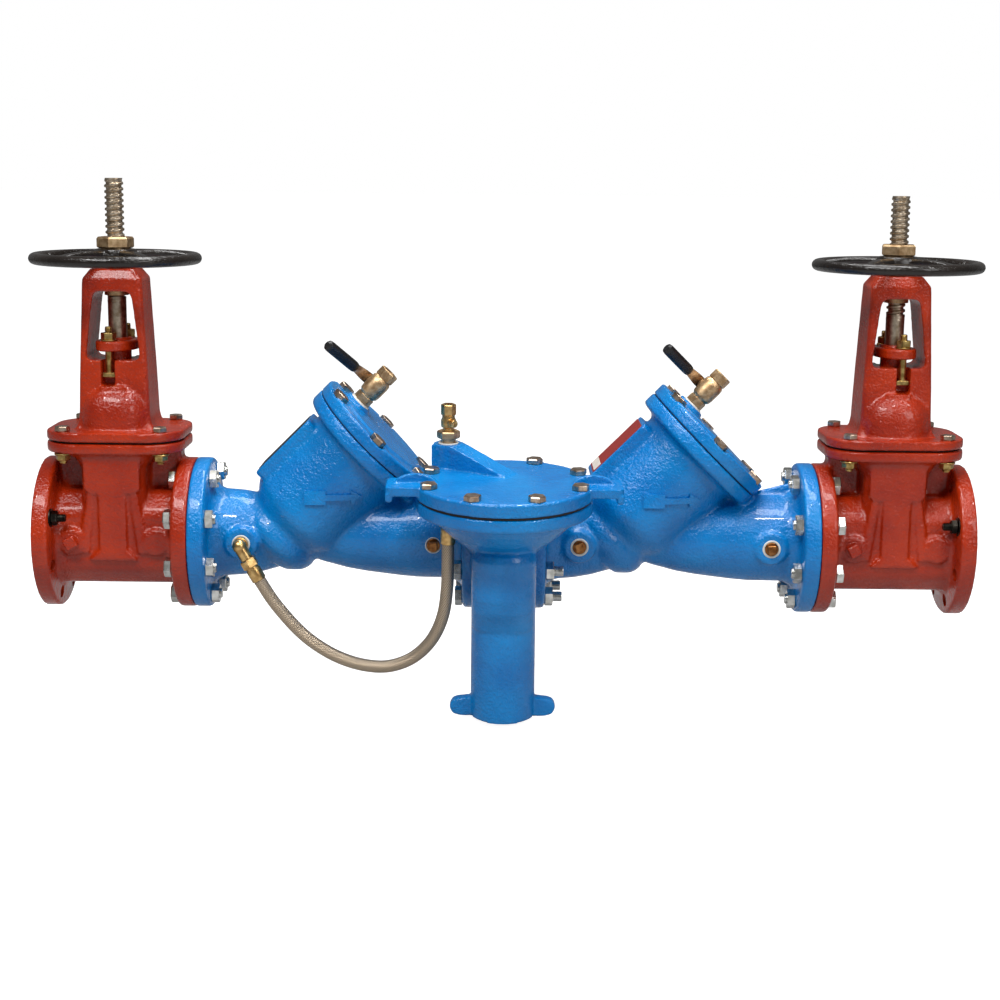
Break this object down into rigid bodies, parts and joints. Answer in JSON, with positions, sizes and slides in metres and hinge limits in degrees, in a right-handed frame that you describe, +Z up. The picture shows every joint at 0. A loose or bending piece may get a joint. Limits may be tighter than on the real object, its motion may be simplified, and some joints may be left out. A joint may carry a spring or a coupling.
{
  "type": "reduced-pressure backflow preventer",
  "caption": "Flanged reduced-pressure backflow preventer with rising-stem gate valves at both ends, angled check valves and a hanging relief valve in the middle.",
  "frame": {"origin": "on the pipe centreline, midway between the two end flange faces", "axes": "+X along the pipe in the direction of flow, +Z up, -Y towards the relief valve side"},
  "size_m": [1.4206, 0.3975, 0.7866],
  "materials": {
    "red_epoxy": "glossy rust-red epoxy over cast iron",
    "blue_epoxy": "glossy bright blue epoxy over cast iron",
    "black_enamel": "glossy black enamel over cast iron",
    "bronze": "machined bronze",
    "brass": "turned brass",
    "stem_metal": "turned threaded stem",
    "spring_steel": "stainless wire and ball",
    "copper_plate": "coppery stainless plate",
    "yellow_zinc": "yellow zinc plated steel",
    "gasket": "black sheet gasket",
    "wedge_rubber": "rubber over iron wedge",
    "black_vinyl": "black dipped vinyl",
    "braid": "stainless braid over a rubber hose"
  },
  "bodies": {
    "valve": {"inlet_gate_body": "red_epoxy", "inlet_bonnet": "red_epoxy", "inlet_bonnet_gasket": "gasket", "inlet_gland_follower": "red_epoxy", "inlet_gland_bolt_front": "yellow_zinc", "inlet_gland_bolt_rear": "yellow_zinc", "inlet_body_plug": "red_epoxy", "outlet_gate_body": "red_epoxy", "outlet_bonnet": "red_epoxy", "outlet_bonnet_gasket": "gasket", "outlet_gland_follower": "red_epoxy", "outlet_gland_bolt_front": "yellow_zinc", "outlet_gland_bolt_rear": "yellow_zinc", "outlet_body_plug": "red_epoxy", "first_check_body": "blue_epoxy", "first_check_cover": "blue_epoxy", "first_cover_gasket": "gasket", "first_seat_ring": "bronze", "first_check_spring": "spring_steel", "first_test_cock_body": "bronze", "second_check_body": "blue_epoxy", "second_check_cover": "blue_epoxy", "second_cover_gasket": "gasket", "second_seat_ring": "bronze", "second_check_spring": "spring_steel", "second_test_cock_body": "bronze", "first_outlet_plug": "brass", "second_inlet_plug": "brass", "second_outlet_plug": "brass", "relief_body": "blue_epoxy", "relief_cover": "blue_epoxy", "relief_diaphragm": "gasket", "relief_seat": "bronze", "relief_spring": "spring_steel", "bleed_bushing": "bronze", "bleed_cock_body": "brass", "hose_elbow": "brass", "hose_nut_lower": "brass", "hose_nut_upper": "brass", "sensing_hose": "braid"},
    "inlet_wheel": {"inlet_handwheel": "black_enamel", "inlet_yoke_nut": "bronze", "inlet_wheel_nut": "bronze"},
    "inlet_rising": {"inlet_stem": "stem_metal", "inlet_wedge": "wedge_rubber"},
    "outlet_wheel": {"outlet_handwheel": "black_enamel", "outlet_yoke_nut": "bronze", "outlet_wheel_nut": "bronze"},
    "outlet_rising": {"outlet_stem": "stem_metal", "outlet_wedge": "wedge_rubber"},
    "first_check": {"first_check_poppet": "bronze"},
    "first_lever": {"first_test_cock_lever": "copper_plate", "first_test_cock_grip": "black_vinyl", "first_test_cock_ball": "spring_steel"},
    "second_check": {"second_check_poppet": "bronze"},
    "second_lever": {"second_test_cock_lever": "copper_plate", "second_test_cock_grip": "black_vinyl", "second_test_cock_ball": "spring_steel"},
    "relief_rising": {"relief_stem": "bronze"},
    "bleed_screw": {"bleed_cock_stem": "brass"}
  },
  "joints": [
    {"name": "inlet_wheel_turn", "type": "hinge", "parent": "valve", "child": "inlet_wheel", "pos_m": [-0.5833, 0, 0.415], "axis": [0, 0, 1], "range_deg": [-4590, 0]},
    {"name": "inlet_stem_rise", "type": "slide", "parent": "valve", "child": "inlet_rising", "axis": [0, 0, 1], "range_m": [-0.108, 0]},
    {"name": "outlet_wheel_turn", "type": "hinge", "parent": "valve", "child": "outlet_wheel", "pos_m": [0.5833, 0, 0.415], "axis": [0, 0, 1], "range_deg": [-3952, 636]},
    {"name": "outlet_stem_rise", "type": "slide", "parent": "valve", "child": "outlet_rising", "axis": [0, 0, 1], "range_m": [-0.093, 0.015]},
    {"name": "first_check_lift", "type": "slide", "parent": "valve", "child": "first_check", "axis": [0.7071, 0, 0.7071], "range_m": [0, 0.025], "stiffness_N_per_m": 1000, "springref_m": -0.03, "deforming": ["first_check_spring"]},
    {"name": "first_lever_turn", "type": "hinge", "parent": "valve", "child": "first_lever", "pos_m": [-0.19681, 0, 0.22557], "axis": [-0.4031, 0.8216, 0.4031], "range_deg": [0, 90]},
    {"name": "second_check_lift", "type": "slide", "parent": "valve", "child": "second_check", "axis": [0.7071, 0, 0.7071], "range_m": [0, 0.025], "stiffness_N_per_m": 1000, "springref_m": -0.03, "deforming": ["second_check_spring"]},
    {"name": "second_lever_turn", "type": "hinge", "parent": "valve", "child": "second_lever", "pos_m": [0.30578, 0, 0.22557], "axis": [-0.4031, 0.8216, 0.4031], "range_deg": [0, 90]},
    {"name": "relief_lift", "type": "slide", "parent": "valve", "child": "relief_rising", "axis": [0, -0.0802, 0.9968], "range_m": [-0.018, 0], "stiffness_N_per_m": 1000, "springref_m": 0.02, "deforming": ["relief_spring"]},
    {"name": "bleed_screw_turn", "type": "hinge", "parent": "valve", "child": "bleed_screw", "pos_m": [-0.084, -0.06284, 0.18255], "axis": [0.5, -0.8632, -0.0695], "range_deg": [0, 90]}
  ],
  "couplings": [
    {"joint": "inlet_stem_rise", "follows": "inlet_wheel_turn", "m_per_rad": 0.0013475},
    {"joint": "outlet_stem_rise", "follows": "outlet_wheel_turn", "m_per_rad": 0.0013475}
  ]
}
